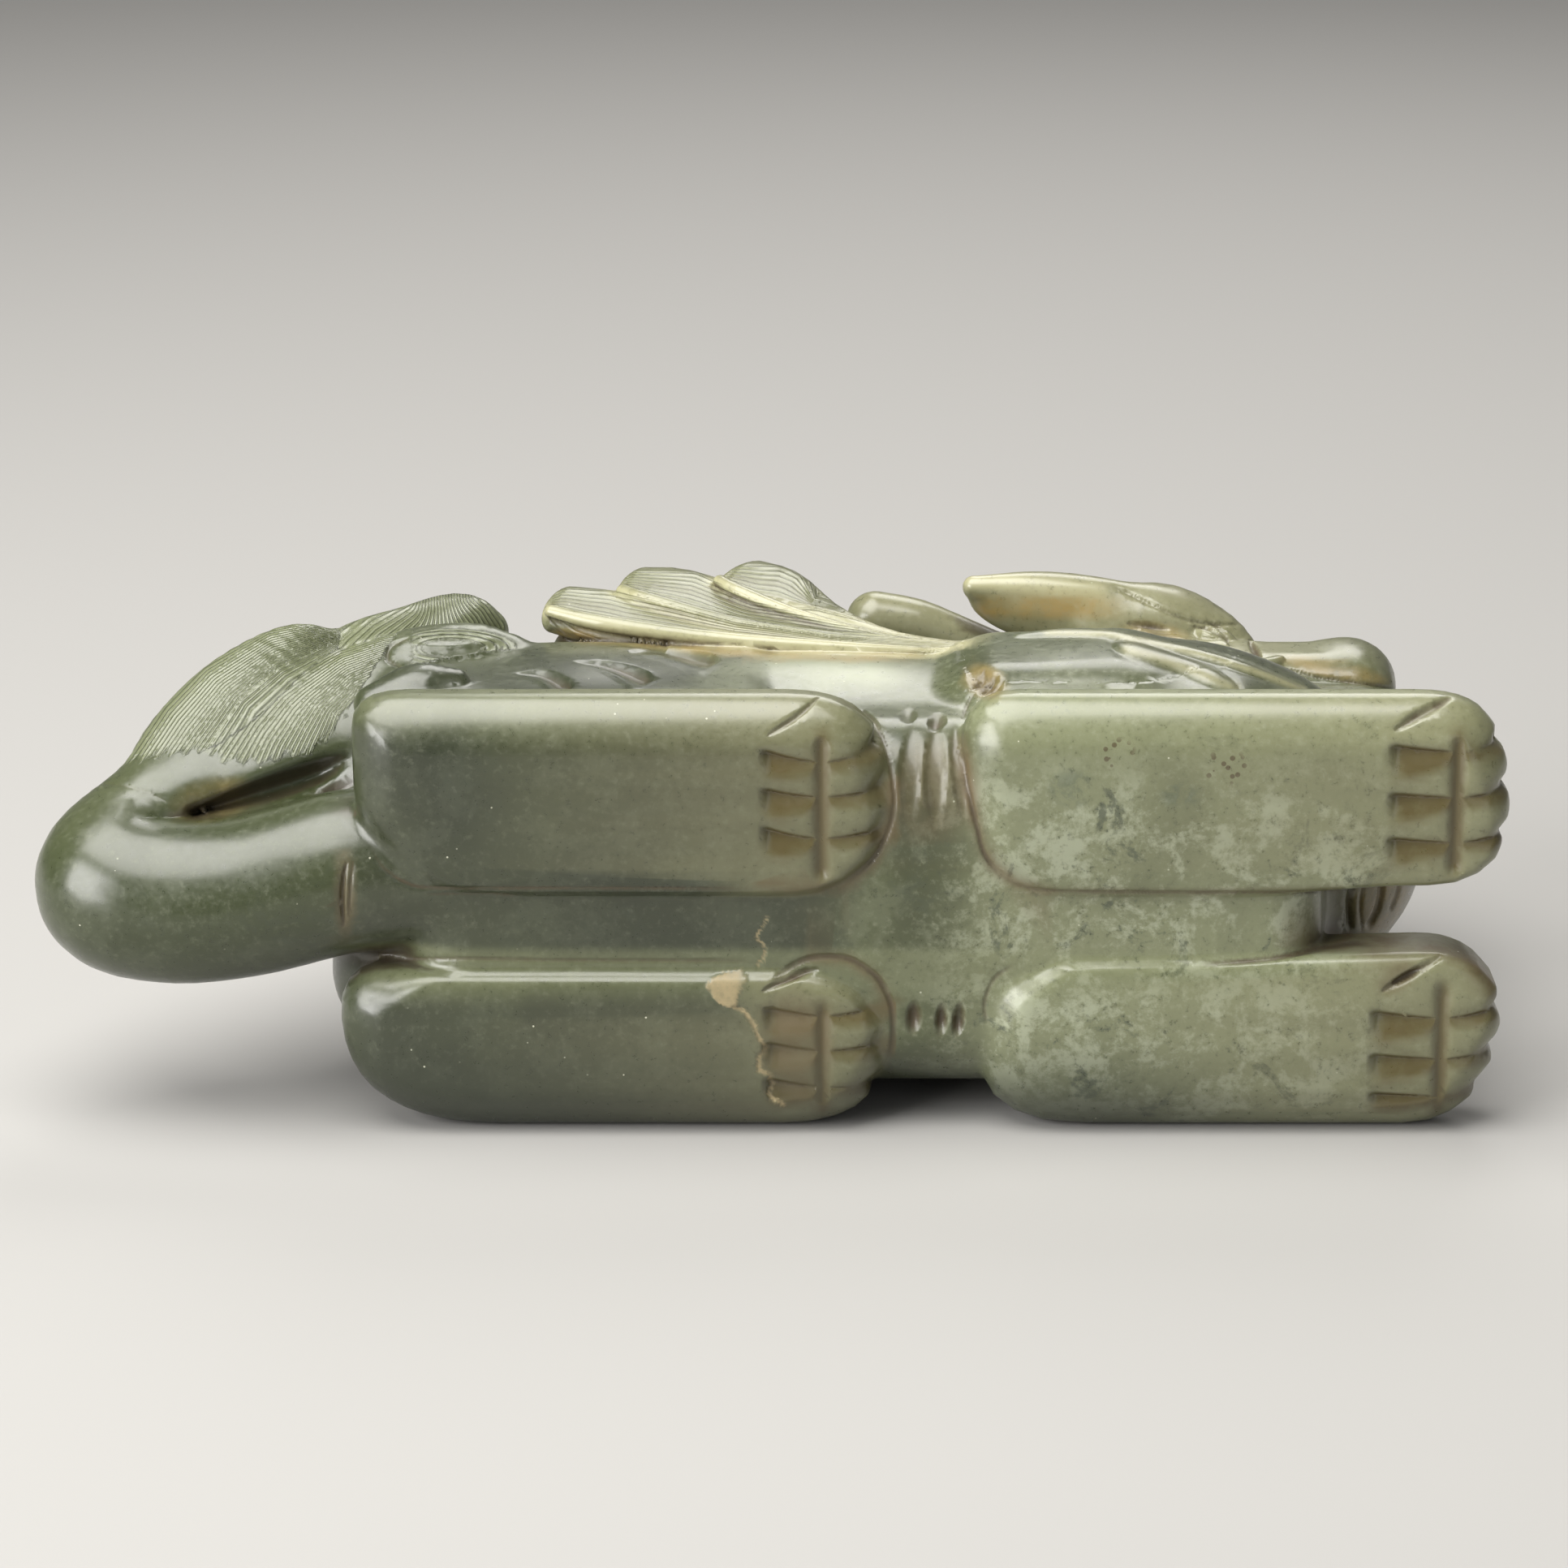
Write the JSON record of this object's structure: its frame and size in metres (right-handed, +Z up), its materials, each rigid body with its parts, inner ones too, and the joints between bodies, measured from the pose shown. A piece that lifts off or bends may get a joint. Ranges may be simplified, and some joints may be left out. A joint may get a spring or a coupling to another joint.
{
  "type": "jade dragon carving",
  "caption": "Crouching winged dragon-like beast carved from one green jade stone, with flat lower legs, swept-back horns, folded wings and a tail ending in locks; lies on its left flank.",
  "frame": {"origin": "middle of the bounding box at the ground, as the carving lies on its left flank", "axes": "+X towards the beast's head end, +Y towards its back, away from the soles, +Z up, which is the beast's right side"},
  "size_m": [0.2052, 0.0918, 0.0663],
  "materials": {
    "jade": "polished grey-green jade with cloudy mottling, cream edges and brown staining in the cuts"
  },
  "bodies": {
    "root": {"jade_dragon": "jade"}
  },
  "joints": []
}
